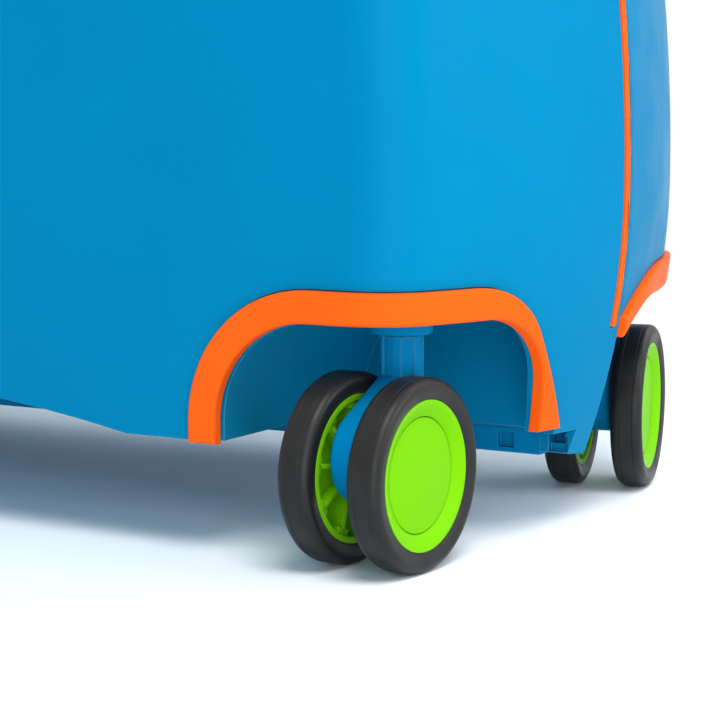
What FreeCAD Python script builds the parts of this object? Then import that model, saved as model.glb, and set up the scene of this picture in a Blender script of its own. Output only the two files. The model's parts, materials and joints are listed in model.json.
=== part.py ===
import FreeCAD, Part
import math
import os
from FreeCAD import Placement, Rotation, Vector

# A ride on suitcase: two moulded half shells that meet at a centre seam and hinge along the keel,
# with four swivelling twin wheel casters in arched corner wells.
# Frame: millimetres, +Z up, floor at z = 0, +X to the front, the right half is on the -Y side.
# The origin is on the floor below the middle of the case.

# Case form
case_length = 460.0
case_half_width = 101.0
keel_z = 22.0
side_edge_z = 33.5
widest_z = 108.0
lower_end_radius = 248.0
upper_end_radius = 600.0
shoulder_radius = 70.0
saddle_radius = 700.0
saddle_z = 300.0
draw_angle = 5.86
draw_radius = 287.5
corner_radius = 21.0
wall = 3.0
section_shares = (0.0, 0.25, 0.5, 0.75, 1.0)

# Belly arch between the wheel wells
belly_setback = 23.5
belly_rise = 10.5
belly_floor_z = 34.0
belly_back = 14.0

# Fits
fit_gap = 0.1
seam_gap = 0.3
shadow_gap = 0.45
moving_gap = 0.3
pin_gap = 0.05

# Corner wells and their arch trims
well_top_z = 70.5
well_back = 14.0
left_well_back = 3.5
well_wall = 6.0
arch_radius = 30.5
arch_setback = 17.5
end_arch_radius = 29.0
end_arch_y = 67.2
end_lean = 16.0
trim_end_radius = 33.0
trim_end_y = 72.0
trim_end_lean = 33.5
left_arch_radius = 55.0
left_arch_y = 33.0
left_trim_radius = 85.0
left_trim_y = 47.0
trim_width = 9.5
trim_proud = 2.5
trim_seat = 1.2
trim_foot_z = 33.5
trim_overhang = 1.6
leg_foot_y = 22.8
keel_foot_z = 31.2
trim_edge = 1.0

# Rim seal on the right half
seal_width = 3.5
seal_inset = 1.7
seal_proud = 0.6
seal_seat = 1.5
seal_end_z = 63.5

# Keel hinge
hinge_z = 26.0
knuckle_radius = 4.0
hinge_pin_radius = 2.0
rail_half_width = 10.0
rail_setback = 26.0
rail_top_z = 30.0
knuckle_overhang = 6.0
knuckle_count = 11
window_length = 5.6
window_height = 5.0
window_depth = 2.0
window_inset = 12.0
window_pitch = 38.0
window_count = 5
pocket_inset = 3.0
pocket_length = 6.5

# Casters
wheel_radius = 28.0
stem_setback = 39.0
stem_y = 77.5
caster_trail = 11.9
wheel_spacing = 23.13
tyre_width = 10.8
tread_width = 5.5
tyre_edge_width = 8.8
hub_radius = 21.7
hub_rim = 1.9
hub_dish = 0.8
hub_web = 1.5
hub_boss_radius = 6.0
hub_rib = 1.4
hub_rib_count = 9
hub_rib_inset = 0.9
cap_radius = 16.6
cap_thickness = 1.3
cap_edge = 0.4
axle_radius = 2.5
axle_head_radius = 4.2
axle_head = 1.2
fork_radius = 13.4
fork_forward = 18.0
fork_centre_z = 33.0
fork_thickness = 9.2
fork_edge = 1.6
stem_radius = 6.4
stem_foot_z = 54.8
flange_radius = 9.1
flange_thickness = 4.1
spigot_radius = 7.2
spigot_top_z = 84.0
kingpin_radius = 4.0
kingpin_foot_z = 51.0
kingpin_head_radius = 5.6
kingpin_head = 2.2
caster_yaw = {
    "front_right": -3.65,
    "front_left": 13.0,
    "rear_right": 193.0,
    "rear_left": 176.35,
}

# Bow handles on the shoulders
handle_y = 20.0
handle_reach = 26.0
handle_bar_radius = 6.0
handle_low_angle = 25.0
handle_high_angle = 73.0
handle_bend = 13.0
handle_pad_radius = 9.5
handle_pad = 3.0
handle_pad_round = 1.2
screw_radius = 2.5
screw_head_radius = 4.5
screw_head = 2.5
screw_length = 14.0

# Turning latches on the top
latch_setback = 20.4
latch_y = 14.0
latch_radius = 24.0
latch_skirt = 3.0
latch_skirt_depth = 5.0
latch_plate = 3.0
latch_hub_radius = 7.0
latch_grip_length = 32.0
latch_grip_width = 6.0
latch_grip_height = 6.0
latch_grip_round = 1.8
latch_base_rise = 1.2
keeper_width = 12.0
keeper_depth = 4.4
keeper_inset = 0.8

# Tow eyes on the end walls
tow_z = 196.0
tow_eye_radius = 9.0
tow_hole_radius = 5.0
tow_thickness = 6.0

# Places that follow from the sizes above
half_length = case_length / 2
stem_x = half_length - stem_setback
far = case_length
belly_half_span = stem_x - arch_setback - arch_radius - trim_width - belly_setback
rail_half_length = half_length - rail_setback
knuckle_span = 2 * (rail_half_length + knuckle_overhang)
lower_centre = (half_length - lower_end_radius, widest_z)
upper_centre = (half_length - upper_end_radius, widest_z)
saddle_centre = (0.0, saddle_z + saddle_radius)
flange_z = well_top_z - flange_thickness
latch_pivot_y = -latch_y
axis_x = Vector(1, 0, 0)
axis_y = Vector(0, 1, 0)
axis_z = Vector(0, 0, 1)
origin = Vector(0, 0, 0)


def circles_meet(first, first_radius, second, second_radius):
    """The outer meeting point of two circles in the side view."""
    run = second[0] - first[0]
    rise = second[1] - first[1]
    gap = math.hypot(run, rise)
    along = (first_radius ** 2 - second_radius ** 2 + gap ** 2) / (2 * gap)
    across = math.sqrt(first_radius ** 2 - along ** 2)
    x = first[0] + (along * run + across * rise) / gap
    z = first[1] + (along * rise - across * run) / gap
    return (x, z)


def direction(start, end):
    return math.atan2(end[1] - start[1], end[0] - start[0])


shoulder_centre = circles_meet(
    upper_centre,
    upper_end_radius - shoulder_radius,
    saddle_centre,
    saddle_radius + shoulder_radius,
)
latch_x = shoulder_centre[0] - latch_setback
shoulder_start = direction(upper_centre, shoulder_centre)
shoulder_end = direction(shoulder_centre, saddle_centre)


def box_between(low, high):
    size = high.sub(low)
    return Part.makeBox(size.x, size.y, size.z, low)


def rod(radius, start, end):
    along = end.sub(start)
    return Part.makeCylinder(radius, along.Length, start, along)


def filled(items):
    """A face inside lines and arcs; an item with three points is an arc."""
    edges = []
    for item in items:
        if len(item) == 3:
            edges.append(Part.Arc(*item).toShape())
        else:
            edges.append(Part.LineSegment(*item).toShape())
    return Part.Face(Part.Wire(edges))


def prism(items, travel):
    return filled(items).extrude(travel)


def turned(profile_points, base, axis):
    """A closed straight-sided profile spun round an axis."""
    face = Part.Face(Part.makePolygon(profile_points + profile_points[:1]))
    return face.revolve(base, axis, 360)


def flipped_x(shape):
    return shape.mirror(origin, axis_x)


def flipped_y(shape):
    return shape.mirror(origin, axis_y)


# Case form


def draw_in(depth):
    """How far the outline has drawn in at a depth from the seam."""
    return depth * math.tan(math.radians(draw_angle)) + depth ** 2 / (2 * draw_radius)


def bottom_at(depth):
    return keel_z + (side_edge_z - keel_z) * depth / case_half_width


def arc_on(centre, radius, start, end, y, side):
    points = []
    for angle in (start, (start + end) / 2, end):
        x = centre[0] + radius * math.cos(angle)
        z = centre[1] + radius * math.sin(angle)
        points.append(Vector(side * x, y, z))
    return Part.Arc(*points).toShape()


def outline(offset, bottom, y):
    """The side view of the case, drawn in by an offset, at one depth."""
    lower_radius = lower_end_radius - offset
    heel = math.asin((bottom - widest_z) / lower_radius)
    ends = []
    for side in (1, -1):
        ends.append([
            arc_on(lower_centre, lower_radius, heel, 0, y, side),
            arc_on(upper_centre, upper_end_radius - offset, 0, shoulder_start, y, side),
            arc_on(shoulder_centre, shoulder_radius - offset, shoulder_start, shoulder_end, y, side),
        ])
    lip = shoulder_end + math.pi
    saddle = arc_on(saddle_centre, saddle_radius + offset, lip, 3 * math.pi - lip, y, 1)
    heel_x = lower_centre[0] + lower_radius * math.cos(heel)
    sole = Part.LineSegment(Vector(-heel_x, y, bottom), Vector(heel_x, y, bottom)).toShape()
    return Part.Wire([sole] + ends[0] + [saddle] + ends[1][::-1])


def half_form(inset, drop=0.0):
    """The right half as one block, moved in by an inset, its sole lowered by a drop."""
    width = case_half_width - inset
    wires = []
    for share in section_shares:
        depth = width * share
        wires.append(outline(draw_in(depth) + inset, bottom_at(depth) + inset - drop, -depth))
    block = Part.makeLoft(wires, True, False)
    rounded = []
    for edge in block.Edges:
        middle = edge.valueAt((edge.FirstParameter + edge.LastParameter) / 2)
        on_side = abs(middle.y + width) < fit_gap
        on_sole = abs(middle.z - bottom_at(width) - inset + drop) < fit_gap
        if on_side and not on_sole:
            rounded.append(edge)
    return block.makeFillet(corner_radius - inset, rounded)


# Wells, belly and keel cuts


def side_arch(margin, back_y):
    """Everything below the arch seen from the side, from a back plane outwards."""
    radius = arch_radius + margin
    centre_x = stem_x - arch_setback
    centre_z = well_top_z - arch_radius
    leg_x = centre_x - radius
    slant = radius * math.cos(math.radians(45))
    y = -back_y
    foot = Vector(leg_x, y, 0)
    spring = Vector(leg_x, y, centre_z)
    haunch = Vector(centre_x - slant, y, centre_z + slant)
    crown = Vector(centre_x, y, centre_z + radius)
    outer_top = Vector(far, y, centre_z + radius)
    outer_foot = Vector(far, y, 0)
    lines = [(foot, spring), (spring, haunch, crown), (crown, outer_top)]
    lines += [(outer_top, outer_foot), (outer_foot, foot)]
    return prism(lines, Vector(0, -far, 0))


def end_arch(margin):
    """Everything below the right half's arch seen from the end; its inner leg leans towards the keel."""
    share = margin / trim_width
    radius = end_arch_radius + (trim_end_radius - end_arch_radius) * share
    centre_y = end_arch_y + (trim_end_y - end_arch_y) * share
    lean = math.radians(end_lean + (trim_end_lean - end_lean) * share)
    centre_z = well_top_z + margin - radius
    middle = (lean + math.pi / 2) / 2
    spring = Vector(0, radius * math.cos(lean) - centre_y, centre_z + radius * math.sin(lean))
    haunch = Vector(0, radius * math.cos(middle) - centre_y, centre_z + radius * math.sin(middle))
    foot = Vector(0, spring.y + spring.z * math.tan(lean), 0)
    return under_crown([(foot, spring)], spring, haunch, centre_y, centre_z + radius, foot)


def left_end_arch(margin):
    """The left half's end arch, drawn on the right: it runs down to the seam with no inner leg."""
    share = margin / trim_width
    radius = left_arch_radius + (left_trim_radius - left_arch_radius) * share
    centre_y = left_arch_y + (left_trim_y - left_arch_y) * share
    centre_z = well_top_z + margin - radius
    lean = math.acos(centre_y / radius)
    middle = (lean + math.pi / 2) / 2
    spring = Vector(0, 0, centre_z + radius * math.sin(lean))
    haunch = Vector(0, radius * math.cos(middle) - centre_y, centre_z + radius * math.sin(middle))
    return under_crown([(origin, spring)], spring, haunch, centre_y, centre_z + radius, origin)


def under_crown(lines, spring, haunch, crown_y, crown_z, foot):
    crown = Vector(0, -crown_y, crown_z)
    outer_top = Vector(0, -far, crown_z)
    outer_foot = Vector(0, -far, 0)
    lines = lines + [(spring, haunch, crown), (crown, outer_top)]
    lines += [(outer_top, outer_foot), (outer_foot, foot)]
    return prism(lines, Vector(far, 0, 0))


def opening(margin, arch):
    return side_arch(margin, 0).common(arch(margin))


def belly(margin, back_y):
    """The room under one side: level below the wells and arched between them."""
    span = belly_half_span + margin
    floor_z = belly_floor_z + margin
    y = -back_y
    start = Vector(-stem_x, y, floor_z)
    left = Vector(-span, y, floor_z)
    top = Vector(0, y, floor_z + belly_rise)
    right = Vector(span, y, floor_z)
    end = Vector(stem_x, y, floor_z)
    start_foot = Vector(-stem_x, y, 0)
    end_foot = Vector(stem_x, y, 0)
    lines = [(start_foot, start), (start, left), (left, top, right), (right, end), (end, end_foot)]
    return prism(lines + [(end_foot, start_foot)], Vector(0, -far, 0))


def keel_channel(margin):
    half_width = rail_half_width + margin
    half_run = rail_half_length + margin
    return box_between(Vector(-half_run, -half_width, 0), Vector(half_run, half_width, rail_top_z + margin))


above_foot = box_between(Vector(-far, -far, trim_foot_z), Vector(far, far, far))
outer_form = half_form(0)
inner_form = half_form(wall)
trim_outer_form = half_form(-trim_proud)
trim_seat_form = half_form(trim_seat, keel_z)
hinge_clear = knuckle_radius + moving_gap
behind_seam = box_between(Vector(-far, -far, 0), Vector(far, -seam_gap / 2, far))


def hinge_room(half_run):
    """The space that the knuckles of the keel hinge turn in."""
    room = rod(hinge_clear, Vector(-half_run, 0, hinge_z), Vector(half_run, 0, hinge_z))
    below = box_between(Vector(-half_run, -hinge_clear, 0), Vector(half_run, hinge_clear, hinge_z))
    return room.fuse(below)


# Half shells


def half_shell(arch, back_y, hinge_run):
    """A half shell, drawn on the right, before its rim groove and its fastener holes."""
    storage = inner_form
    for room in (side_arch(well_wall, back_y - wall), belly(wall, belly_back - wall), keel_channel(wall)):
        storage = storage.cut(room)
    storage = storage.cut(flipped_x(side_arch(well_wall, back_y - wall)))
    shell = outer_form.common(behind_seam).cut(storage)
    inner_block = half_form(wall, keel_z)
    cavity = side_arch(0, back_y).common(inner_block)
    gate = opening(trim_overhang, arch).cut(inner_block)
    rebate = opening(trim_width + shadow_gap, arch).common(above_foot).cut(trim_seat_form)
    stem_foot = Vector(stem_x, -stem_y, 0)
    spigot_hole = rod(spigot_radius + fit_gap, stem_foot, Vector(stem_x, -stem_y, spigot_top_z))
    for cut in (cavity, gate, rebate, spigot_hole, keel_foot(), foot_pocket()):
        shell = shell.cut(cut)
        shell = shell.cut(flipped_x(cut))
    shell = shell.cut(belly(0, belly_back))
    shell = shell.cut(keel_channel(fit_gap))
    return shell.cut(hinge_room(hinge_run))


def keel_window(centre_x, face_y, length):
    """A shallow snap window in the right face of the keel."""
    middle_z = (keel_z + rail_top_z) / 2
    low = Vector(centre_x - length / 2, -face_y, middle_z - window_height / 2)
    high = Vector(centre_x + length / 2, window_depth - face_y, middle_z + window_height / 2)
    return box_between(low, high)


def foot_pocket():
    """The snap pocket in the tip of the keel, beyond the end of its rail."""
    centre_x = rail_half_length + pocket_inset + pocket_length / 2
    return keel_window(centre_x, rail_half_width + fit_gap, pocket_length)


def keel_foot():
    """The room under a well's inner edge and its trim's foot that leaves the keel rail's side bare."""
    low = Vector(stem_x - arch_setback - arch_radius, -far, 0)
    below = box_between(low, Vector(far, -rail_half_width - fit_gap, keel_foot_z))
    return below.fuse(box_between(low, Vector(far, -leg_foot_y, trim_foot_z)))


def arch_trim(arch):
    """A front arch trim, drawn on the right: a proud band in a rebate round the opening."""
    ring = opening(trim_width, arch).cut(opening(0, arch)).common(above_foot).common(behind_seam)
    band = ring.common(trim_outer_form).cut(half_form(trim_seat - fit_gap, keel_z))
    return rounded_outside(band.removeSplitter())


def rounded_outside(trim):
    """The trim with the rim of its proud face rounded."""
    skin = trim_outer_form.Shells[0]
    uses = {}
    for face in trim.Faces:
        if all(lies_on(skin, edge) for edge in face.Edges):
            for edge in face.Edges:
                uses.setdefault(edge.hashCode(), []).append(edge)
    rim = [edges[0] for edges in uses.values() if len(edges) == 1]
    return trim.makeFillet(trim_edge, rim)


def lies_on(skin, edge):
    middle = edge.valueAt((edge.FirstParameter + edge.LastParameter) / 2)
    return skin.distToShape(Part.Vertex(middle))[0] < fit_gap


def seal_strip(growth):
    low = Vector(-far, -seal_inset - seal_width - growth, seal_end_z - growth)
    high = Vector(far, -seal_inset + growth, far)
    return box_between(low, high)


def rim_seal():
    layer = half_form(-seal_proud).cut(half_form(seal_seat - fit_gap))
    return layer.common(seal_strip(0))


def rim_groove():
    return seal_strip(shadow_gap).cut(half_form(seal_seat))


# Keel hinge


def knuckle_ends(index):
    step = knuckle_span / knuckle_count
    start = index * step - knuckle_span / 2
    return start + moving_gap / 2, start + step - moving_gap / 2


def hinge_rail(side):
    """One keel rail; side is -1 on the right half, whose rail has the end knuckles, and +1 on the left."""
    first = 0 if side < 0 else 1
    low = min(side * rail_half_width, side * seam_gap / 2)
    high = max(side * rail_half_width, side * seam_gap / 2)
    rail = box_between(Vector(-rail_half_length, low, keel_z), Vector(rail_half_length, high, rail_top_z))
    rail = rail.cut(hinge_room(far))
    for index in range(knuckle_count):
        start, end = knuckle_ends(index)
        if index % 2 == first:
            barrel = rod(knuckle_radius, Vector(start, 0, hinge_z), Vector(end, 0, hinge_z))
            reach = min(end, rail_half_length)
            back = max(start, -rail_half_length)
            low_y = min(side * rail_half_width, 0)
            high_y = max(side * rail_half_width, 0)
            web = box_between(Vector(back, low_y, hinge_z - knuckle_radius / 2),
                              Vector(reach, high_y, hinge_z + knuckle_radius / 2))
            inside = box_between(Vector(-far, low - fit_gap, 0), Vector(far, high + fit_gap, far))
            rail = rail.fuse(barrel).fuse(web.common(inside))
    bore = rod(hinge_pin_radius + pin_gap, Vector(-far, 0, hinge_z), Vector(far, 0, hinge_z))
    rail = rail.cut(bore)
    for index in range(window_count):
        centre_x = rail_half_length - window_inset - index * window_pitch
        window = keel_window(centre_x, rail_half_width, window_length)
        if side > 0:
            window = flipped_y(window)
        rail = rail.cut(window)
        rail = rail.cut(flipped_x(window))
    return rail.removeSplitter()


def hinge_pin():
    end_x = knuckle_span / 2
    return rod(hinge_pin_radius, Vector(-end_x, 0, hinge_z), Vector(end_x, 0, hinge_z))


# Casters, built with the stem on the Z axis, the axle along X and the wheels trailing to -Y


def tyre(centre_x):
    half = tyre_width / 2
    flat = tread_width / 2
    edge = tyre_edge_width / 2
    shoulder = half - flat
    slant = shoulder * math.cos(math.radians(45))
    base = Vector(centre_x, 0, 0)

    def at(x, radius):
        return base.add(Vector(x, 0, radius))

    inner = hub_radius + fit_gap / 2
    lines = [(at(-edge, inner), at(edge, inner)), (at(edge, inner), at(half, wheel_radius - shoulder))]
    lines.append((
        at(half, wheel_radius - shoulder),
        at(flat + slant, wheel_radius - shoulder + slant),
        at(flat, wheel_radius),
    ))
    lines.append((at(flat, wheel_radius), at(-flat, wheel_radius)))
    lines.append((
        at(-flat, wheel_radius),
        at(-flat - slant, wheel_radius - shoulder + slant),
        at(-half, wheel_radius - shoulder),
    ))
    lines.append((at(-half, wheel_radius - shoulder), at(-edge, inner)))
    return filled(lines).revolve(base, axis_x, 360)


def hub(centre_x, side):
    """A dished hub, open and ribbed on the inner side; side points to the outer face."""
    half = tyre_edge_width / 2
    seat = half - hub_dish - cap_thickness
    web_back = seat - hub_web
    seat_radius = cap_radius + fit_gap
    head_floor = web_back
    base = Vector(centre_x, 0, 0)

    def at(x, radius):
        return base.add(Vector(side * x, 0, radius))

    bore_radius = axle_radius + pin_gap
    pocket_radius = axle_head_radius + moving_gap
    boss_face = wheel_spacing / 2 - hub_boss_face()
    profile = [
        at(-boss_face, bore_radius),
        at(-boss_face, hub_boss_radius),
        at(web_back, hub_boss_radius),
        at(web_back, hub_radius - hub_rim),
        at(-half, hub_radius - hub_rim),
        at(-half, hub_radius),
        at(half, hub_radius),
        at(half, hub_radius - hub_rim / 2),
        at(half - hub_dish, seat_radius),
        at(seat, seat_radius),
        at(seat, pocket_radius),
        at(head_floor - axle_head, pocket_radius),
        at(head_floor - axle_head, bore_radius),
    ]
    body = turned(profile, base, axis_x)
    rib_back = hub_rib_inset - half
    low_x = min(side * rib_back, side * web_back)
    high_x = max(side * rib_back, side * web_back)
    inner = (hub_boss_radius + pocket_radius) / 2
    outer = hub_radius - hub_rim / 2
    for index in range(hub_rib_count):
        rib = box_between(Vector(centre_x + low_x, -hub_rib / 2, inner),
                          Vector(centre_x + high_x, hub_rib / 2, outer))
        rib.rotate(base, axis_x, 360 * index / hub_rib_count)
        body = body.fuse(rib)
    return body.removeSplitter()


def hub_boss_face():
    """How far the hub boss face stands from the middle of the caster."""
    return fork_thickness / 2 + moving_gap


def cap(centre_x, side):
    half = tyre_edge_width / 2
    seat = half - hub_dish - cap_thickness
    face = half - hub_dish
    base = Vector(centre_x, 0, 0)

    def at(x, radius):
        return base.add(Vector(side * x, 0, radius))

    profile = [
        at(seat + fit_gap / 2, 0),
        at(seat + fit_gap / 2, cap_radius),
        at(face - cap_edge, cap_radius),
        at(face, cap_radius - cap_edge),
        at(face, 0),
    ]
    return turned(profile, base, axis_x)


def axle():
    """A pin through the fork and both hubs, with a head in each hub's pocket."""
    half = tyre_edge_width / 2
    seat = half - hub_dish - cap_thickness
    head_in = wheel_spacing / 2 + seat - hub_web - axle_head + moving_gap
    head_out = head_in + axle_head
    shape = rod(axle_radius, Vector(-head_out, 0, 0), Vector(head_out, 0, 0))
    for side in (1, -1):
        head = rod(axle_head_radius, Vector(side * head_in, 0, 0), Vector(side * head_out, 0, 0))
        shape = shape.fuse(head)
    return shape.removeSplitter()


def fork():
    """The round plate between the wheels, drawn up into the swivel stem."""
    half = fork_thickness / 2
    centre = Vector(0, -fork_forward, fork_centre_z)
    disc = rod(fork_radius, centre.add(Vector(-half, 0, 0)), centre.add(Vector(half, 0, 0)))
    neck = stem_radius
    points = []
    for side in (-1, 1):
        top = Vector(-half, side * neck, stem_foot_z)
        to_top = top.sub(centre)
        reach = math.hypot(to_top.y, to_top.z)
        bearing = math.atan2(to_top.z, to_top.y)
        spread = math.acos(fork_radius / reach)
        touch = bearing - side * spread
        touch_y = centre.y + fork_radius * math.cos(touch)
        touch_z = centre.z + fork_radius * math.sin(touch)
        points.append((top, Vector(-half, touch_y, touch_z)))
    hollow = [points[0][0], points[1][0], points[1][1], Vector(-half, centre.y, centre.z), points[0][1]]
    web = Part.Face(Part.makePolygon(hollow + hollow[:1])).extrude(Vector(fork_thickness, 0, 0))
    plate = disc.fuse(web).removeSplitter()
    rim = []
    for edge in plate.Edges:
        on_face = abs(abs(edge.CenterOfMass.x) - half) < fit_gap
        on_top = abs(edge.CenterOfMass.z - stem_foot_z) < fit_gap
        if on_face and not on_top:
            rim.append(edge)
    plate = plate.makeFillet(fork_edge, rim)
    stem = rod(stem_radius, Vector(0, 0, stem_foot_z), Vector(0, 0, flange_z - moving_gap))
    shape = plate.fuse(stem)
    shape = shape.cut(rod(kingpin_radius, Vector(0, 0, kingpin_foot_z), Vector(0, 0, far)))
    bore_end = Vector(half + fit_gap, -caster_trail, wheel_radius)
    bore_start = Vector(-half - fit_gap, -caster_trail, wheel_radius)
    return shape.cut(rod(axle_radius, bore_start, bore_end)).removeSplitter()


def kingpin():
    head_z = spigot_top_z + moving_gap
    shaft = rod(kingpin_radius, Vector(0, 0, kingpin_foot_z), Vector(0, 0, head_z))
    head = rod(kingpin_head_radius, Vector(0, 0, head_z), Vector(0, 0, head_z + kingpin_head))
    return shaft.fuse(head).removeSplitter()


def swivel_housing(x, y):
    flange = rod(flange_radius, Vector(x, y, flange_z), Vector(x, y, well_top_z))
    spigot = rod(spigot_radius, Vector(x, y, flange_z), Vector(x, y, spigot_top_z))
    bore = rod(kingpin_radius + pin_gap, Vector(x, y, 0), Vector(x, y, far))
    return flange.fuse(spigot).cut(bore).removeSplitter()


# Handles, latches and tow eyes on the front of the right half


def shoulder_point(radius, angle):
    turn = math.radians(angle)
    x = shoulder_centre[0] + radius * math.cos(turn)
    z = shoulder_centre[1] + radius * math.sin(turn)
    return Vector(x, -handle_y, z)


def bow_handle():
    """A round bar that follows the shoulder and bends down into two legs with seating pads."""
    bar_at = shoulder_radius + handle_reach
    bend_at = bar_at - handle_bend
    bend_turn = math.degrees(math.asin(handle_bend / bend_at))
    pivot = Vector(shoulder_centre[0], -handle_y, shoulder_centre[1])
    first = handle_low_angle + bend_turn
    last = handle_high_angle - bend_turn
    handle = bar_section(bar_at, first, 90).revolve(pivot, axis_y.negative(), last - first)
    for angle, sense in ((handle_low_angle, 1), (handle_high_angle, -1)):
        handle = handle.fuse(handle_leg(angle, sense, bend_at, bend_turn))
    handle = handle.cut(half_form(-fit_gap / 2))
    for angle in (handle_low_angle, handle_high_angle):
        handle = handle.cut(handle_screw_shaft(angle))
    return handle.removeSplitter()


def bar_section(radius, angle, turn):
    """The bar's round section at a place on the shoulder, facing a turn from the radial direction."""
    heading = math.radians(angle + turn)
    facing = Vector(math.cos(heading), 0, math.sin(heading))
    return Part.Face(Part.Wire(Part.makeCircle(handle_bar_radius, shoulder_point(radius, angle), facing)))


def handle_leg(angle, sense, bend_at, bend_turn):
    root = shoulder_radius - corner_radius
    leg_at = math.sqrt(bend_at ** 2 - handle_bend ** 2)
    leg = rod(handle_bar_radius, shoulder_point(root, angle), shoulder_point(leg_at, angle))
    bend_centre = shoulder_point(bend_at, angle + sense * bend_turn)
    bend_axis = Vector(0, -sense, 0)
    bend = bar_section(leg_at, angle, 0).revolve(bend_centre, bend_axis, 90 + bend_turn)
    pad_top = shoulder_radius + handle_pad
    pad = rod(handle_pad_radius, shoulder_point(root, angle), shoulder_point(pad_top, angle))
    pad = pad.makeFillet(handle_pad_round, [pad.Edges[0], pad.Edges[2]])
    return leg.fuse(bend).fuse(pad)


def handle_screw_start():
    """The shell's inner face at the handle, measured from the shoulder's centre."""
    return shoulder_radius - draw_in(handle_y + screw_head_radius) - wall - fit_gap


def handle_screw_shaft(angle):
    start = handle_screw_start()
    return rod(screw_radius, shoulder_point(start, angle), shoulder_point(start + screw_length, angle))


def handle_screw(angle):
    start = handle_screw_start()
    head = rod(screw_head_radius, shoulder_point(start - screw_head, angle), shoulder_point(start, angle))
    return handle_screw_shaft(angle).fuse(head).removeSplitter()


hump_z = shoulder_centre[1] + shoulder_radius
latch_base_z = hump_z + seal_proud + latch_base_rise
latch_skirt_z = latch_base_z + moving_gap
latch_plate_z = latch_skirt_z + latch_skirt_depth
latch_top_z = latch_plate_z + latch_plate


def latch_axis(low, high):
    return Vector(latch_x, latch_pivot_y, low), Vector(latch_x, latch_pivot_y, high)


def latch_base():
    """A half round pad beside the seal, levelled for the latch to turn on."""
    pad = rod(latch_radius, *latch_axis(saddle_z - latch_radius, latch_base_z))
    clear_y = seal_inset + seal_width + moving_gap
    pad = pad.common(box_between(Vector(0, -far, 0), Vector(far, -clear_y, far)))
    pad = pad.cut(half_form(-fit_gap / 2))
    return pad.cut(rod(screw_radius, *latch_axis(0, far)))


def latch_cam():
    """A half moon cap whose rim swings over the seam and behind the keeper."""
    disc = rod(latch_radius, *latch_axis(latch_skirt_z, latch_top_z))
    hollow = rod(latch_radius - latch_skirt, *latch_axis(latch_skirt_z, latch_plate_z))
    back_half = box_between(Vector(0, -far, 0), Vector(far, latch_pivot_y, far))
    moon = disc.cut(hollow).common(back_half)
    post = rod(latch_hub_radius, *latch_axis(latch_skirt_z, latch_top_z))
    bore = rod(screw_radius + pin_gap, *latch_axis(0, far))
    return moon.fuse(post).fuse(latch_grip()).cut(bore).removeSplitter()


def latch_grip():
    """The finger bar across the back of the latch."""
    half = latch_grip_length / 2
    front_y = latch_pivot_y - latch_hub_radius
    low = Vector(latch_x - half, front_y - latch_grip_width, latch_plate_z + latch_plate / 2)
    high = Vector(latch_x + half, front_y, latch_top_z + latch_grip_height)
    bar = box_between(low, high)
    soft = [edge for edge in bar.Edges if edge.CenterOfMass.z > latch_top_z]
    return bar.makeFillet(latch_grip_round, soft)


def latch_screw():
    head_z = latch_top_z + moving_gap
    shaft = rod(screw_radius, *latch_axis(head_z - latch_screw_run(), head_z))
    head = rod(screw_head_radius, *latch_axis(head_z, head_z + screw_head))
    return shaft.fuse(head).removeSplitter()


def latch_screw_run():
    """From under the head, through the cap and the pad and out below the shell's wall."""
    shell_top = saddle_z + saddle_radius - math.sqrt((saddle_radius + draw_in(latch_y)) ** 2 - latch_x ** 2)
    return latch_top_z - shell_top + 2 * wall


def latch_keeper():
    """A lug on the left half that the latch rim passes behind."""
    low = Vector(latch_x - keeper_width / 2, keeper_inset, saddle_z - latch_radius)
    high = Vector(latch_x + keeper_width / 2, keeper_inset + keeper_depth, latch_plate_z - 2 * moving_gap)
    lug = box_between(low, high)
    return lug.cut(flipped_y(half_form(-fit_gap / 2)))


def tow_eye():
    """A flat lug with a round eye, standing out of the end wall."""
    depth = handle_y
    radius = upper_end_radius - draw_in(depth)
    skin_x = upper_centre[0] + math.sqrt(radius ** 2 - (tow_z - widest_z) ** 2)
    centre = Vector(skin_x + tow_eye_radius / 2 + tow_hole_radius / 2, -depth - tow_thickness / 2, tow_z)
    across = Vector(0, tow_thickness, 0)
    lug = rod(tow_eye_radius, centre, centre.add(across))
    neck_low = Vector(skin_x - tow_eye_radius, centre.y, tow_z - tow_eye_radius)
    neck_high = Vector(centre.x, centre.y + tow_thickness, tow_z + tow_eye_radius)
    lug = lug.fuse(box_between(neck_low, neck_high)).cut(half_form(-fit_gap / 2))
    return lug.cut(rod(tow_hole_radius, centre, centre.add(across))).removeSplitter()


# Assembly


def save(name, *shapes):
    solids = []
    for shape in shapes:
        solids += shape.Solids
    whole = solids[0] if len(solids) == 1 else Part.makeCompound(solids)
    whole.exportStep("parts/" + name + ".step")
    print(name, len(solids), round(sum(solid.Volume for solid in solids)), whole.isValid())


def place_caster(shape, corner):
    """A caster piece turned to its rest angle and moved to its stem."""
    side_x = 1 if corner.startswith("front") else -1
    side_y = -1 if corner.endswith("right") else 1
    place = Placement(Vector(side_x * stem_x, side_y * stem_y, 0), Rotation(axis_z, caster_yaw[corner]))
    moved = shape.copy()
    moved.Placement = place.multiply(moved.Placement)
    return moved


def at_axle(shape):
    moved = shape.copy()
    moved.translate(Vector(0, -caster_trail, wheel_radius))
    return moved


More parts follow.
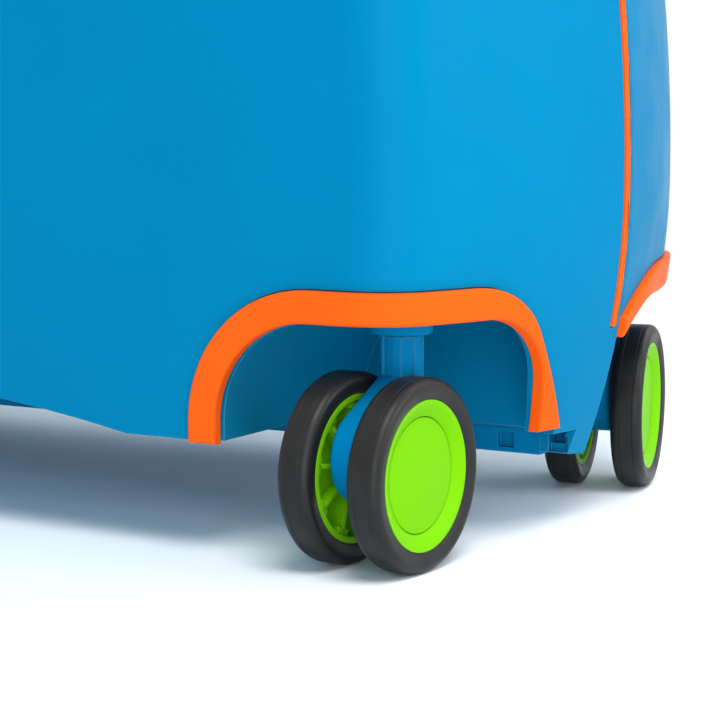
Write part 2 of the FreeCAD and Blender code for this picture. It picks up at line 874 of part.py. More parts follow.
def save_casters():
    fork_shape = fork()
    kingpin_shape = kingpin()
    axle_shape = at_axle(axle())
    wheels = {}
    for place, side in (("outer", 1), ("inner", -1)):
        centre_x = side * wheel_spacing / 2
        wheels[place] = {
            "tyre": at_axle(tyre(centre_x)),
            "hub": at_axle(hub(centre_x, side)),
            "cap": at_axle(cap(centre_x, side)),
        }
    for corner in caster_yaw:
        save(corner + "_fork", place_caster(fork_shape, corner))
        save(corner + "_kingpin", place_caster(kingpin_shape, corner))
        save(corner + "_axle", place_caster(axle_shape, corner))
        for place, pieces in wheels.items():
            for piece, shape in pieces.items():
                save(corner + "_" + place + "_" + piece, place_caster(shape, corner))


def save_case():
    knuckle_run = knuckle_span / 2 + moving_gap
    right_shell = half_shell(end_arch, well_back, knuckle_run).cut(rim_groove())
    left_shell = half_shell(left_end_arch, left_well_back, far)
    handle_holes = []
    for angle in (handle_low_angle, handle_high_angle):
        handle_holes.append(handle_screw_shaft(angle))
    latch_hole = rod(screw_radius + fit_gap, *latch_axis(saddle_z - latch_radius, far))
    for hole in handle_holes + [latch_hole]:
        right_shell = right_shell.cut(hole).cut(flipped_x(hole))
    save("right_shell", right_shell)
    save("left_shell", flipped_y(left_shell))
    right_trim = arch_trim(end_arch)
    save("front_right_arch_trim", right_trim)
    save("rear_right_arch_trim", flipped_x(right_trim))
    left_trim = flipped_y(arch_trim(left_end_arch))
    save("front_left_arch_trim", left_trim)
    save("rear_left_arch_trim", flipped_x(left_trim))
    save("rim_seal", rim_seal())
    save("right_hinge_rail", hinge_rail(-1))
    save("left_hinge_rail", hinge_rail(1))
    save("hinge_pin", hinge_pin())
    save("right_swivel_housings", swivel_housing(stem_x, -stem_y), swivel_housing(-stem_x, -stem_y))
    save("left_swivel_housings", swivel_housing(stem_x, stem_y), swivel_housing(-stem_x, stem_y))


def save_fittings():
    handle = bow_handle()
    save("front_handle", handle)
    save("rear_handle", flipped_x(handle))
    screws = [handle_screw(handle_low_angle), handle_screw(handle_high_angle)]
    save("handle_screws", *screws, *[flipped_x(screw) for screw in screws])
    base = latch_base()
    save("latch_bases", base, flipped_x(base))
    cam = latch_cam()
    save("front_latch_cam", cam)
    save("rear_latch_cam", flipped_x(cam))
    screw = latch_screw()
    save("latch_screws", screw, flipped_x(screw))
    keeper = latch_keeper()
    save("latch_keepers", keeper, flipped_x(keeper))
    eye = tow_eye()
    save("tow_eyes", eye, flipped_x(eye))


os.makedirs("parts", exist_ok=True)
save_case()
save_fittings()
save_casters()
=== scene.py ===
# %% [markdown]
# # Ride on suitcase
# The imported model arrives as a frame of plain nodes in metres. This lesson keeps the shells, trims, rails
# and fittings, gives each of them the finish of the moulded plastic, rubber or steel that it has on the
# real case, and models the wheels, forks, swivel housings and rim seal again with the soft corners and
# small details of moulded parts.

import json
import math

import bmesh
import bpy
from mathutils import Matrix, Vector

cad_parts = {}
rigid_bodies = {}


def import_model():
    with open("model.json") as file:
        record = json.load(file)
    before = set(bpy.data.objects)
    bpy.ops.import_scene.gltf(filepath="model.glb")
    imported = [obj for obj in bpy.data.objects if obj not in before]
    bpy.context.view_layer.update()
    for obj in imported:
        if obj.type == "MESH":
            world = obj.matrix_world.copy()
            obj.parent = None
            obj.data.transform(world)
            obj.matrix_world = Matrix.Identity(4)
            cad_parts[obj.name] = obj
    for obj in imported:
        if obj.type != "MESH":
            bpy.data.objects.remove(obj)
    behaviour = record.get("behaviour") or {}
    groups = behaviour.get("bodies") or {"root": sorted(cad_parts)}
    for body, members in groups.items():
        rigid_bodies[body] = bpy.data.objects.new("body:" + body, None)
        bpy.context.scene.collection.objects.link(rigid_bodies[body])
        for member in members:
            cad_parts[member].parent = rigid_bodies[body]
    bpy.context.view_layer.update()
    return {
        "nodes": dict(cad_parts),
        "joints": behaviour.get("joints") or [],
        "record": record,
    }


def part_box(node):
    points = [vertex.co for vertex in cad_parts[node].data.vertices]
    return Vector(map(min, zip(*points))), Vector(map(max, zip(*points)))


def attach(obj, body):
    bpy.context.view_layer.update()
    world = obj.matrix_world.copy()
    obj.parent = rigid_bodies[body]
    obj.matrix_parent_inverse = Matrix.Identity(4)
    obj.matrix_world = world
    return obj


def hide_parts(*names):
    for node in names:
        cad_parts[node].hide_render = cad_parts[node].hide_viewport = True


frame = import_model()
nodes = frame["nodes"]
print("nodes", len(nodes))

# %% [markdown]
# The photograph is a close view of one corner from just above wheel height. The camera stands to the
# front right, turned thirty degrees from the side of the case, and looks a little down. A long lens keeps
# the wheels round.

# %% Camera
CAMERA_PLACE = Vector((0.4827, -0.6134, 0.1355))
CAMERA_TURN = math.radians(29.91)
CAMERA_TILT = math.radians(6.96)
CAMERA_LENS = 108.74

camera_data = bpy.data.cameras.new("camera")
camera_data.lens = CAMERA_LENS
camera_data.sensor_width = 36.0
camera_data.clip_start = 0.01
camera = bpy.data.objects.new("camera", camera_data)
camera.location = CAMERA_PLACE
camera.rotation_euler = (math.pi / 2 - CAMERA_TILT, 0.0, CAMERA_TURN)
bpy.context.scene.collection.objects.link(camera)
bpy.context.scene.camera = camera
print("camera at", tuple(camera.location))

# %% [markdown]
# A finish is a small tree of nodes. Two helpers keep the trees short: one adds a node and sets its
# sockets, the other joins sockets. All patterns read Object coordinates, which are metres on the case, so
# a scale of 1000 is one millimetre and a pattern keeps its size from part to part.

# %% Node helpers


def add(tree, kind, values=None, **settings):
    node = tree.nodes.new("ShaderNode" + kind)
    for name, value in settings.items():
        setattr(node, name, value)
    for name, value in (values or {}).items():
        node.inputs[name].default_value = value
    return node


def join(tree, source, socket, target, name):
    tree.links.new(source.outputs[socket], target.inputs[name])


def new_finish(name):
    material = bpy.data.materials.new(name)
    material.use_nodes = True
    tree = material.node_tree
    return material, tree, tree.nodes["Principled BSDF"], add(tree, "TexCoord")


def noise_on(tree, place, scale, detail=2.0):
    noise = add(tree, "TexNoise", {"Scale": scale, "Detail": detail})
    join(tree, place, "Object", noise, "Vector")
    return noise


NOISE_LOW = 0.35
NOISE_HIGH = 0.65


def spread(tree, noise, low, high):
    """The middle of a noise, stretched to run from low to high."""
    ramp = add(tree, "MapRange", {"From Min": NOISE_LOW, "From Max": NOISE_HIGH})
    ramp.inputs["To Min"].default_value = low
    ramp.inputs["To Max"].default_value = high
    join(tree, noise, "Fac", ramp, "Value")
    return ramp


print("helpers ready")

# %% [markdown]
# Moulded plastic is one colour all through, but never quite even: the melt leaves broad, faint clouds of
# colour, the polished mould leaves a fine grain, and handling leaves patches that are a little duller. An
# edge wears first, and its edges are also given a paler colour that paints the highlight an edge catches,
# so the edge colour is partly wear and partly painted highlight. The Bevel node finds the edges by
# rounding the normal over a small radius, and the same rounded normal stands for the moulded radius, so
# no mesh has to be changed.

# %% Moulded plastic
EDGE_RADIUS = 0.0005
EDGE_FLAT = 0.995
EDGE_FULL = 0.8
CLOUD_SCALE = 14.0
WEAR_AND_HIGHLIGHT_SCALE = 160.0
WEAR_AND_HIGHLIGHT_SHARES = (0.35, 0.75)
DULL_SCALE = 45.0
DULL_SPREAD = (-0.05, 0.07)
GRAIN_SCALE = 1500.0
GRAIN_DEPTH = 0.00003
PLASTIC_GLOSS = 0.02


def edge_mask(tree, rounded):
    """How far the rounded normal leans from the true one: nought on a flat, more on an edge."""
    surface = add(tree, "NewGeometry")
    lean = add(tree, "VectorMath", operation="DOT_PRODUCT")
    join(tree, rounded, "Normal", lean, 0)
    tree.links.new(surface.outputs["Normal"], lean.inputs[1])
    mask = add(tree, "MapRange", {"From Min": EDGE_FLAT, "From Max": EDGE_FULL})
    tree.links.new(lean.outputs["Value"], mask.inputs["Value"])
    return mask


def plastic(name, colour, cloud, wear_and_highlight_colour, roughness):
    """Moulded plastic: a clouded colour, an edge colour that is partly wear and partly painted highlight,
    patchy roughness and a fine grain.
    """
    material, tree, shader, place = new_finish(name)
    clouds = add(tree, "Mix", data_type="RGBA")
    clouds.inputs["A"].default_value = (*colour, 1.0)
    clouds.inputs["B"].default_value = (*cloud, 1.0)
    amount = spread(tree, noise_on(tree, place, CLOUD_SCALE), 0.0, 1.0)
    join(tree, amount, "Result", clouds, "Factor")
    rounded = add(tree, "Bevel", {"Radius": EDGE_RADIUS}, samples=4)
    # The edge mask, broken up by noise, places a paler edge colour that is partly wear and partly a painted
    # highlight.
    wear_and_highlight_share = add(tree, "Math", operation="MULTIPLY")
    join(tree, edge_mask(tree, rounded), "Result", wear_and_highlight_share, 0)
    join(tree, spread(tree, noise_on(tree, place, WEAR_AND_HIGHLIGHT_SCALE, 4.0), *WEAR_AND_HIGHLIGHT_SHARES), "Result", wear_and_highlight_share, 1)
    wear_and_highlight_mix = add(tree, "Mix", data_type="RGBA")
    wear_and_highlight_mix.inputs["B"].default_value = (*wear_and_highlight_colour, 1.0)
    join(tree, wear_and_highlight_share, "Value", wear_and_highlight_mix, "Factor")
    tree.links.new(clouds.outputs["Result"], wear_and_highlight_mix.inputs["A"])
    tree.links.new(wear_and_highlight_mix.outputs["Result"], shader.inputs["Base Color"])
    dull = [roughness + change for change in DULL_SPREAD]
    patches = spread(tree, noise_on(tree, place, DULL_SCALE, 5.0), *dull)
    join(tree, patches, "Result", shader, "Roughness")
    bump = add(tree, "Bump", {"Strength": 0.35, "Distance": GRAIN_DEPTH})
    join(tree, noise_on(tree, place, GRAIN_SCALE), "Fac", bump, "Height")
    tree.links.new(rounded.outputs["Normal"], bump.inputs["Normal"])
    join(tree, bump, "Normal", shader, "Normal")
    shader.inputs["Specular IOR Level"].default_value = PLASTIC_GLOSS
    return material


# The shell's pale edge colour is mostly a painted highlight along its edges, such as the ridge at the seam,
# and partly wear.
shell_blue = plastic(
    "shell_blue",
    colour=(0.0, 0.186, 0.362),
    cloud=(0.0, 0.178, 0.35),
    wear_and_highlight_colour=(0.14, 0.42, 0.6),
    roughness=0.36,
)
frame_blue = plastic(
    "frame_blue",
    colour=(0.0, 0.18, 0.375),
    cloud=(0.0, 0.171, 0.362),
    wear_and_highlight_colour=(0.08, 0.34, 0.54),
    roughness=0.32,
)
trim_orange = plastic(
    "trim_orange",
    colour=(0.95, 0.108, 0.008),
    cloud=(0.92, 0.101, 0.007),
    wear_and_highlight_colour=(1.0, 0.24, 0.08),
    roughness=0.34,
)
wheel_green = plastic(
    "wheel_green",
    colour=(0.168, 0.5, 0.004),
    cloud=(0.162, 0.486, 0.003),
    wear_and_highlight_colour=(0.28, 0.62, 0.04),
    roughness=0.3,
)
print("plastics", shell_blue.name, frame_blue.name, trim_orange.name, wheel_green.name)

# %% [markdown]
# Tyre rubber is a dark warm grey and dull. It carries a very fine orange peel from the mould, and the
# floor's dust stays in soft smears, a little paler and duller than clean rubber.

# %% Rubber
SMEAR_SCALE = 70.0
SHEEN_SCALE = 110.0
RUBBER_ROUGHNESS = (0.36, 0.5)
PEEL_SCALE = 2200.0
PEEL_DEPTH = 0.00004
RUBBER_GLOSS = 0.24


def rubber(name, clean, dusty):
    material, tree, shader, place = new_finish(name)
    smear = add(tree, "Mix", data_type="RGBA")
    smear.inputs["A"].default_value = (*clean, 1.0)
    smear.inputs["B"].default_value = (*dusty, 1.0)
    join(tree, spread(tree, noise_on(tree, place, SMEAR_SCALE, 6.0), 0.0, 1.0), "Result", smear, "Factor")
    tree.links.new(smear.outputs["Result"], shader.inputs["Base Color"])
    sheen = spread(tree, noise_on(tree, place, SHEEN_SCALE, 4.0), *RUBBER_ROUGHNESS)
    join(tree, sheen, "Result", shader, "Roughness")
    bump = add(tree, "Bump", {"Strength": 0.5, "Distance": PEEL_DEPTH})
    join(tree, noise_on(tree, place, PEEL_SCALE, 3.0), "Fac", bump, "Height")
    join(tree, bump, "Normal", shader, "Normal")
    shader.inputs["Specular IOR Level"].default_value = RUBBER_GLOSS
    return material


tyre_grey = rubber("tyre_grey", (0.0085, 0.008, 0.0078), (0.0125, 0.012, 0.0117))
print("rubber", tyre_grey.name)

# %% [markdown]
# The pins, axles and screws are drawn steel wire, zinc plated. Drawing leaves fine lines along the wire
# and plating leaves a faint mottle, so a noise that is squeezed along the case stands for both.

# %% Plated steel
WIRE_LINES = (60.0, 2400.0, 2400.0)
MOTTLE_SCALE = 240.0
STEEL_ROUGHNESS = (0.24, 0.42)
LINE_DEPTH = 0.00002


def plated_steel(name):
    material, tree, shader, place = new_finish(name)
    stretch = add(tree, "Mapping", {"Scale": WIRE_LINES})
    join(tree, place, "Object", stretch, "Vector")
    lines = add(tree, "TexNoise", {"Scale": 1.0, "Detail": 3.0})
    join(tree, stretch, "Vector", lines, "Vector")
    tone = add(tree, "Mix", data_type="RGBA")
    tone.inputs["A"].default_value = (0.5, 0.5, 0.52, 1.0)
    tone.inputs["B"].default_value = (0.62, 0.62, 0.63, 1.0)
    join(tree, spread(tree, noise_on(tree, place, MOTTLE_SCALE, 4.0), 0.0, 1.0), "Result", tone, "Factor")
    tree.links.new(tone.outputs["Result"], shader.inputs["Base Color"])
    join(tree, spread(tree, lines, *STEEL_ROUGHNESS), "Result", shader, "Roughness")
    bump = add(tree, "Bump", {"Strength": 0.2, "Distance": LINE_DEPTH})
    join(tree, lines, "Fac", bump, "Height")
    join(tree, bump, "Normal", shader, "Normal")
    shader.inputs["Metallic"].default_value = 1.0
    return material


steel = plated_steel("steel_plated")
print("steel", steel.name)

# %% [markdown]
# Each node has a material slot in its record, so the finishes go on by slot.

# %% Finishes on the nodes
FINISHES = {
    "shell": shell_blue,
    "frame": frame_blue,
    "trim": trim_orange,
    "wheel": wheel_green,
    "tyre": tyre_grey,
    "steel": steel,
}
slots = {part["node"]: part["material_slot"] for part in frame["record"]["subparts"]}
for name, node in nodes.items():
    node.data.materials.clear()
    node.data.materials.append(FINISHES[slots[name]])
print("finished nodes", len(slots))

# %% [markdown]
# Round pieces are turned: a closed outline of across and radius is spun about the axle's line. The
# corners of a moulded part are never sharp, so the rings at those corners are then bevelled, each with
# its own small radius.

# %% Turning
TURN_STEPS = 128
TOUCH = 1e-6
SHARP_ANGLE = math.radians(35.0)


def lathe(outline):
    form = bmesh.new()
    corners = [form.verts.new((across, 0.0, radius)) for across, radius in outline]
    sides = [form.edges.new(pair) for pair in zip(corners, corners[1:] + corners[:1])]
    bmesh.ops.spin(
        form,
        geom=corners + sides,
        cent=(0, 0, 0),
        axis=(1, 0, 0),
        angle=math.tau,
        steps=TURN_STEPS,
        use_merge=True,
    )
    bmesh.ops.remove_doubles(form, verts=form.verts, dist=TOUCH)
    return form


def ring_edges(form, across, radius):
    def on_ring(vertex):
        out = math.hypot(vertex.co.y, vertex.co.z)
        return abs(vertex.co.x - across) < TOUCH and abs(out - radius) < TOUCH

    return [edge for edge in form.edges if on_ring(edge.verts[0]) and on_ring(edge.verts[1])]


def round_ring(form, across, radius, size, segments=4):
    edges = ring_edges(form, across, radius)
    bmesh.ops.bevel(
        form,
        geom=edges,
        offset=size,
        segments=segments,
        profile=0.5,
        affect="EDGES",
        material=-1,
    )
    bmesh.ops.remove_doubles(form, verts=form.verts, dist=TOUCH)


def finished(name, form, slot, body, replaced):
    """The bmesh as a piece that rides on a body and stands for some nodes."""
    bmesh.ops.recalc_face_normals(form, faces=form.faces)
    mesh = bpy.data.meshes.new(name)
    form.to_mesh(mesh)
    form.free()
    mesh.shade_smooth()
    mesh.set_sharp_from_angle(angle=SHARP_ANGLE)
    mesh.materials.append(FINISHES[slot])
    item = bpy.data.objects.new(name, mesh)
    bpy.context.scene.collection.objects.link(item)
    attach(item, body)
    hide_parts(*replaced)
    return item


print("turning steps", TURN_STEPS)

# %% [markdown]
# Every wheel is a rubber tyre on a dished hub with a flush cap. The tyre's tread is almost flat and rolls
# over into sidewalls that draw in to the hub. Two fine grooves part the tread from its shoulders, where
# the mould's rings met.

# %% Tyre
WHEEL_RADIUS = 0.028
TYRE_HALF = 0.0054
TREAD_HALF = 0.00275
TYRE_SEAT = 0.02172
TYRE_SEAT_HALF = 0.0044
TYRE_SHOULDER = TYRE_HALF - TREAD_HALF
TYRE_LIP = 0.0005
TREAD_GROOVE = 0.00012
TREAD_LINE = 0.0022


def tyre_form():
    groove = []
    for middle in (TREAD_LINE, -TREAD_LINE):
        groove.append((middle + TREAD_GROOVE, WHEEL_RADIUS))
        groove.append((middle, WHEEL_RADIUS - TREAD_GROOVE))
        groove.append((middle - TREAD_GROOVE, WHEEL_RADIUS))
    form = lathe([
        (-TYRE_SEAT_HALF, TYRE_SEAT),
        (TYRE_SEAT_HALF, TYRE_SEAT),
        (TYRE_HALF, WHEEL_RADIUS - TYRE_SHOULDER),
        (TYRE_HALF, WHEEL_RADIUS),
        *groove,
        (-TYRE_HALF, WHEEL_RADIUS),
        (-TYRE_HALF, WHEEL_RADIUS - TYRE_SHOULDER),
    ])
    for side in (1, -1):
        round_ring(form, side * TYRE_HALF, WHEEL_RADIUS, TYRE_SHOULDER, 8)
        round_ring(form, side * TYRE_SEAT_HALF, TYRE_SEAT, TYRE_LIP, 3)
    return form


print("tyre width", 2 * TYRE_HALF)

# %% [markdown]
# The hub's outer face is a dished ring with a flat seat for the cap. Its inner side is an open drum,
# stiffened by radial ribs that thicken into lugs under the rim, as moulders do to keep walls thin. The
# drum is turned; each rib and lug is a small block with softened edges.

# %% Hub
HUB_RIM = 0.0207
HUB_BARREL = 0.0198
HUB_DISH = 0.0019
HUB_EDGE = 0.0003
HUB_LIP_ROUND = 0.0006
CAP_RADIUS = 0.0166
CAP_GAP = 0.00022
CAP_FACE = TYRE_SEAT_HALF - HUB_DISH
CAP_BACK = 0.0014
WEB_BACK = 0.0002
BOSS_RADIUS = 0.006
BOSS_FACE = 0.00665
AXLE_SEAT = 0.00255
RIB_COUNT = 9
RIB_THICKNESS = 0.0014
RIB_INSET = 0.0009
LUG_WIDTH = 0.0052
LUG_DEPTH = 0.0026
BLOCK_EDGE = 0.0003


def add_block(form, size, middle, turn):
    place = Matrix.Rotation(turn, 4, "X") @ Matrix.Translation(middle) @ Matrix.Diagonal((*size, 1.0))
    made = bmesh.ops.create_cube(form, size=1.0, matrix=place)
    edges = list({edge for vertex in made["verts"] for edge in vertex.link_edges})
    bmesh.ops.bevel(form, geom=edges, offset=BLOCK_EDGE, segments=2, profile=0.5, affect="EDGES", material=-1)


def hub_form():
    """The hub, its outer face towards +X."""
    form = lathe([
        (-BOSS_FACE, AXLE_SEAT),
        (-BOSS_FACE, BOSS_RADIUS),
        (WEB_BACK, BOSS_RADIUS),
        (WEB_BACK, HUB_BARREL),
        (-TYRE_SEAT_HALF, HUB_BARREL),
        (-TYRE_SEAT_HALF, TYRE_SEAT),
        (TYRE_SEAT_HALF, TYRE_SEAT),
        (TYRE_SEAT_HALF, HUB_RIM),
        (CAP_FACE, CAP_RADIUS + CAP_GAP),
        (CAP_BACK, CAP_RADIUS + CAP_GAP),
        (CAP_BACK, AXLE_SEAT),
    ])
    round_ring(form, CAP_FACE, CAP_RADIUS + CAP_GAP, HUB_EDGE)
    round_ring(form, TYRE_SEAT_HALF, HUB_RIM, HUB_LIP_ROUND)
    round_ring(form, -TYRE_SEAT_HALF, HUB_BARREL, HUB_EDGE)
    round_ring(form, -BOSS_FACE, BOSS_RADIUS, HUB_EDGE)
    depth = TYRE_SEAT_HALF - RIB_INSET + WEB_BACK
    middle_x = WEB_BACK - depth / 2
    for index in range(RIB_COUNT):
        turn = math.tau * index / RIB_COUNT
        rib = Vector((middle_x, 0.0, (HUB_BARREL + BOSS_RADIUS) / 2))
        add_block(form, (depth, RIB_THICKNESS, HUB_BARREL - BOSS_RADIUS + 2 * BLOCK_EDGE), rib, turn)
        lug = Vector((middle_x, 0.0, HUB_BARREL - LUG_DEPTH / 2 + BLOCK_EDGE))
        add_block(form, (depth, LUG_WIDTH, LUG_DEPTH), lug, turn)
    return form


def cap_form():
    form = lathe([
        (CAP_BACK, 0.0),
        (CAP_BACK, CAP_RADIUS),
        (CAP_FACE, CAP_RADIUS),
        (CAP_FACE, 0.0),
    ])
    round_ring(form, CAP_FACE, CAP_RADIUS, HUB_EDGE)
    return form


print("ribs", RIB_COUNT)

# %% [markdown]
# The joints of the frame say where each wheel is and which way its axle points. A wheel's outer face
# looks away from its fork, so the form is turned to that side before it is put in place.

# %% Wheels in place
WHEEL_FORMS = {"tyre": (tyre_form, "tyre"), "hub": (hub_form, "wheel"), "cap": (cap_form, "wheel")}
axles = {}
for joint in frame["joints"]:
    if not joint["name"].endswith("_spin"):
        continue
    axle = Vector(joint["axis"])
    outward = axle if "_outer_" in joint["name"] else -axle
    turn = Matrix.Rotation(math.atan2(outward.y, outward.x), 4, "Z")
    place = Matrix.Translation(Vector(joint["pos_m"])) @ turn
    wheel = joint["child"].removesuffix("_wheel")
    for piece, (make, slot) in WHEEL_FORMS.items():
        form = make()
        form.transform(place)
        finished(wheel + "_" + piece + "_turned", form, slot, joint["child"], [wheel + "_" + piece])
    axles[joint["parent"]] = axle
print("wheels for", sorted(axles))

# %% [markdown]
# The fork is a thick plate: a disc behind the axle, drawn up in two straight flanks to the foot of the
# swivel stem. A convex hull of the disc and the stem's foot gives exactly that outline; extruding it
# makes the plate, and a wide bevel rounds its edges. The stem is a post with sunk panels, which mould
# faster than solid plastic.

# %% Forks
FLAT_ANGLE = math.radians(1.0)
FORK_RADIUS = 0.0134
FORK_FORWARD = 0.018
FORK_CENTRE = 0.033
FORK_HALF = 0.0046
FORK_EDGE = 0.0019
DISC_STEPS = 96
STEM_RADIUS = 0.0064
STEM_FOOT = 0.0548
STEM_TOP = 0.0661
STEM_STEPS = 48
STEM_PANELS = 6
PANEL_FACES = 5
PANEL_EDGE = 0.0004
PANEL_DEPTH = 0.0006


def fork_plate(form):
    upright = Matrix.Rotation(math.pi / 2, 4, "Y")
    start = Matrix.Translation((-FORK_HALF, -FORK_FORWARD, FORK_CENTRE)) @ upright
    disc = bmesh.ops.create_circle(form, segments=DISC_STEPS, radius=FORK_RADIUS, matrix=start)["verts"]
    foot = [form.verts.new((-FORK_HALF, side * STEM_RADIUS, STEM_FOOT)) for side in (1, -1)]
    bmesh.ops.convex_hull(form, input=disc + foot)
    loose = [vertex for vertex in form.verts if not vertex.link_faces]
    bmesh.ops.delete(form, geom=loose, context="VERTS")
    bmesh.ops.dissolve_limit(form, angle_limit=FLAT_ANGLE, verts=form.verts, edges=form.edges)
    face = max(form.faces, key=lambda item: item.calc_area())
    bmesh.ops.delete(form, geom=[other for other in form.faces if other is not face], context="FACES")
    grown = bmesh.ops.extrude_face_region(form, geom=[face], use_keep_orig=True)["geom"]
    moved = [item for item in grown if isinstance(item, bmesh.types.BMVert)]
    bmesh.ops.translate(form, verts=moved, vec=(2 * FORK_HALF, 0.0, 0.0))
    rim = [edge for edge in form.edges if abs(edge.verts[0].co.x - edge.verts[1].co.x) < TOUCH]
    bmesh.ops.bevel(form, geom=rim, offset=FORK_EDGE, segments=5, profile=0.5, affect="EDGES", material=-1)


def fork_stem(form):
    height = STEM_TOP - STEM_FOOT + 2 * FORK_EDGE
    place = Matrix.Translation((0.0, 0.0, STEM_TOP - height / 2))
    post = bmesh.ops.create_cone(
        form,
        cap_ends=True,
        segments=STEM_STEPS,
        radius1=STEM_RADIUS,
        radius2=STEM_RADIUS,
        depth=height,
        matrix=place,
    )["verts"]
    sides = list({face for vertex in post for face in vertex.link_faces if len(face.verts) == 4})
    sides.sort(key=lambda face: math.atan2(face.calc_center_median().y, face.calc_center_median().x))
    pitch = len(sides) // STEM_PANELS
    for panel in range(STEM_PANELS):
        faces = sides[panel * pitch:panel * pitch + PANEL_FACES]
        bmesh.ops.inset_region(form, faces=faces, thickness=PANEL_EDGE, depth=-PANEL_DEPTH)


swivels = {joint["child"]: joint for joint in frame["joints"] if joint["name"].endswith("_swivel")}
for caster, joint in swivels.items():
    form = bmesh.new()
    fork_plate(form)
    fork_stem(form)
    turn = Matrix.Rotation(math.atan2(axles[caster].y, axles[caster].x), 4, "Z")
    stand = Vector((joint["pos_m"][0], joint["pos_m"][1], 0.0))
    form.transform(Matrix.Translation(stand) @ turn)
    fork = caster.removesuffix("_caster") + "_fork"
    finished(fork + "_moulded", form, "frame", caster, [fork])
print("forks", len(swivels))

# %% [markdown]
# A swivel housing is a flanged bush pressed into the well's ceiling. Only its flange shows, as a low
# round disc with a rolled lower edge, so it is turned like the wheels and then stood upright.

# %% Swivel housings
FLANGE_RADIUS = 0.0091
FLANGE_FOOT = 0.0664
FLANGE_TOP = 0.0705
FLANGE_ROUND = 0.0012
SPIGOT_RADIUS = 0.0072
SPIGOT_TOP = 0.084
KINGPIN_SEAT = 0.00405


def housing_form(stand):
    form = lathe([
        (FLANGE_FOOT, KINGPIN_SEAT),
        (FLANGE_FOOT, FLANGE_RADIUS),
        (FLANGE_TOP, FLANGE_RADIUS),
        (FLANGE_TOP, SPIGOT_RADIUS),
        (SPIGOT_TOP, SPIGOT_RADIUS),
        (SPIGOT_TOP, KINGPIN_SEAT),
    ])
    round_ring(form, FLANGE_FOOT, FLANGE_RADIUS, FLANGE_ROUND, 5)
    upright = Matrix.Rotation(-math.pi / 2, 4, "Y")
    form.transform(Matrix.Translation(stand) @ upright)
    return form


housings = []
for side in ("right", "left"):
    for end in ("front", "rear"):
        joint = swivels[end + "_" + side + "_caster"]
        form = housing_form(Vector((joint["pos_m"][0], joint["pos_m"][1], 0.0)))
        name = end + "_" + side + "_swivel_housing"
        housings.append(finished(name, form, "frame", side + "_half", [side + "_swivel_housings"]))
print("housings", len(housings))

# %% [markdown]
# The rim seal is a cord of soft plastic pressed into a groove beside the seam. The groove is a little
# wider than the cord, so a dark line shows beside it, and then the bright edge of the shell. The node
# fills the groove, so a copy of its mesh is merged and the side towards the seam is moved back.

# %% Rim seal
SEAL_SPARE = 0.0017


def seal_form():
    form = bmesh.new()
    form.from_mesh(nodes["rim_seal"].data)
    bmesh.ops.remove_doubles(form, verts=form.verts, dist=TOUCH)
    low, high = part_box("rim_seal")
    inner = [vertex for vertex in form.verts if vertex.co.y > (low[1] + high[1]) / 2]
    bmesh.ops.translate(form, verts=inner, vec=(0.0, -SEAL_SPARE, 0.0))
    return form


rim_seal = finished("rim_seal_cord", seal_form(), "trim", "right_half", ["rim_seal"])
print("seal", rim_seal.name, "spare", SEAL_SPARE)

# %% [markdown]
# The floor is a wide sheet of pale matt board. It is shaded as itself round the case, so that it keeps
# the soft shadow. Further out it fades to clear for what the camera and the reflections see: the white
# room shows in its place, and there is no horizon. The left half swings open past the wheels and below
# the floor, so the floor fades sooner on that side, and also wherever an Ambient Occlusion node that
# looks downwards finds something under it.

# %% Floor
FLOOR_HALF = 6.0
FADE_START = 0.28
FADE_END = 0.45
LEFT_FADE_START = 0.25
LEFT_FADE_END = 0.3
LEFT_EDGE = 0.06
UNDER_REACH = 0.2
UNDER_START = 0.95
UNDER_END = 0.7
FLOOR_TILES = 8
FLOOR_PAINT = (0.985, 0.985, 0.985, 1.0)


def seen_rays(tree):
    """One for the rays that see a picture: straight to the camera, in a gloss or through glass."""
    path = add(tree, "LightPath")
    seen = path.outputs["Is Camera Ray"]
    for name in ("Is Glossy Ray", "Is Transmission Ray"):
        either = add(tree, "Math", operation="MAXIMUM")
        tree.links.new(seen, either.inputs[0])
        tree.links.new(path.outputs[name], either.inputs[1])
        seen = either.outputs["Value"]
    return seen


floor_form = bmesh.new()
bmesh.ops.create_grid(floor_form, x_segments=FLOOR_TILES, y_segments=FLOOR_TILES, size=FLOOR_HALF)
floor_mesh = bpy.data.meshes.new("floor")
floor_form.to_mesh(floor_mesh)
floor_form.free()
floor = bpy.data.objects.new("floor", floor_mesh)
bpy.context.scene.collection.objects.link(floor)

floor_finish, tree, shader, place = new_finish("floor_white")
shader.inputs["Base Color"].default_value = FLOOR_PAINT
shader.inputs["Roughness"].default_value = 0.55
shader.inputs["Specular IOR Level"].default_value = 0.1
distance = add(tree, "VectorMath", operation="LENGTH")
join(tree, place, "Object", distance, 0)
across = add(tree, "SeparateXYZ")
join(tree, place, "Object", across, "Vector")


def fade_of(source, socket, start, end):
    ramp = add(tree, "MapRange", {"From Min": start, "From Max": end}, interpolation_type="SMOOTHSTEP")
    join(tree, source, socket, ramp, "Value")
    return ramp


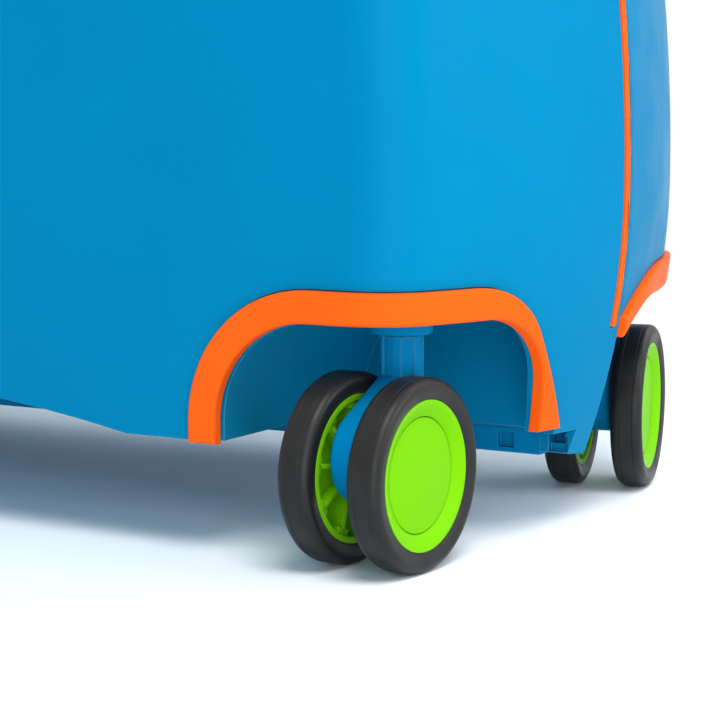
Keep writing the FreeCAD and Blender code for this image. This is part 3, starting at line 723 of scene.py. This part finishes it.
under = add(tree, "AmbientOcclusion", {"Distance": UNDER_REACH}, inside=True, samples=16)
left = add(tree, "Math", operation="MULTIPLY")
join(tree, fade_of(distance, "Value", LEFT_FADE_START, LEFT_FADE_END), "Result", left, 0)
join(tree, fade_of(across, "Y", 0.0, LEFT_EDGE), "Result", left, 1)
outer = add(tree, "Math", operation="MAXIMUM")
join(tree, fade_of(distance, "Value", FADE_START, FADE_END), "Result", outer, 0)
join(tree, left, "Value", outer, 1)
fade = add(tree, "Math", operation="MAXIMUM")
join(tree, outer, "Value", fade, 0)
join(tree, fade_of(under, "AO", UNDER_START, UNDER_END), "Result", fade, 1)
share = add(tree, "Math", operation="MULTIPLY")
join(tree, fade, "Value", share, 0)
tree.links.new(seen_rays(tree), share.inputs[1])
clear = add(tree, "BsdfTransparent")
either = add(tree, "MixShader")
join(tree, share, "Value", either, "Fac")
tree.links.new(shader.outputs["BSDF"], either.inputs[1])
tree.links.new(clear.outputs["BSDF"], either.inputs[2])
tree.links.new(either.outputs["Shader"], tree.nodes["Material Output"].inputs["Surface"])
floor_mesh.materials.append(floor_finish)
print("floor", FLOOR_HALF)

# %% [markdown]
# The light is a plain studio: a room that looks white but gives only a weak, cool light, so that shadows
# turn a little blue, and one large soft box high at the front right, which throws the shadow under the
# case and away from the camera. A weaker box faces the end wall, which is why the end of the case is
# brighter than its side, one near the floor behind the camera looks into the wheel wells, and one lights
# the left half. The floor is left out of what blocks these lamps, so that they also reach the open half.

# %% Light
ROOM_LIGHT = (0.26, 0.43, 0.55, 1.0)
ROOM_WHITE = (1.0, 1.0, 1.0, 1.0)

world = bpy.data.worlds.new("studio")
bpy.context.scene.world = world
world.use_nodes = True
room = world.node_tree
background = room.nodes["Background"]
walls = add(room, "Mix", data_type="RGBA")
walls.inputs["A"].default_value = ROOM_LIGHT
walls.inputs["B"].default_value = ROOM_WHITE
room.links.new(seen_rays(room), walls.inputs["Factor"])
room.links.new(walls.outputs["Result"], background.inputs["Color"])


not_blocking = bpy.data.collections.new("not_blocking")
not_blocking.objects.link(floor)
not_blocking.collection_objects[0].light_linking.link_state = "EXCLUDE"


def soft_box(name, place, aim, size, power):
    data = bpy.data.lights.new(name, "AREA")
    data.size = size
    data.energy = power
    item = bpy.data.objects.new(name, data)
    item.location = place
    item.rotation_euler = (Vector(aim) - Vector(place)).to_track_quat("-Z", "Y").to_euler()
    item.light_linking.blocker_collection = not_blocking
    bpy.context.scene.collection.objects.link(item)
    return item


lamps = [
    soft_box("key", (1.1, -0.95, 2.4), (0.1, -0.05, 0.05), size=1.3, power=56.0),
    soft_box("end_fill", (1.5, 0.35, 0.6), (0.2, 0.0, 0.12), size=0.9, power=8.5),
    soft_box("low_fill", (1.0, -1.35, 0.3), (0.15, -0.08, 0.06), size=1.0, power=11.0),
    soft_box("left_fill", (0.7, 1.2, 1.3), (0.1, 0.05, 0.15), size=1.0, power=8.0),
]
bpy.context.scene.view_settings.view_transform = "Standard"
print("lamps", len(lamps))
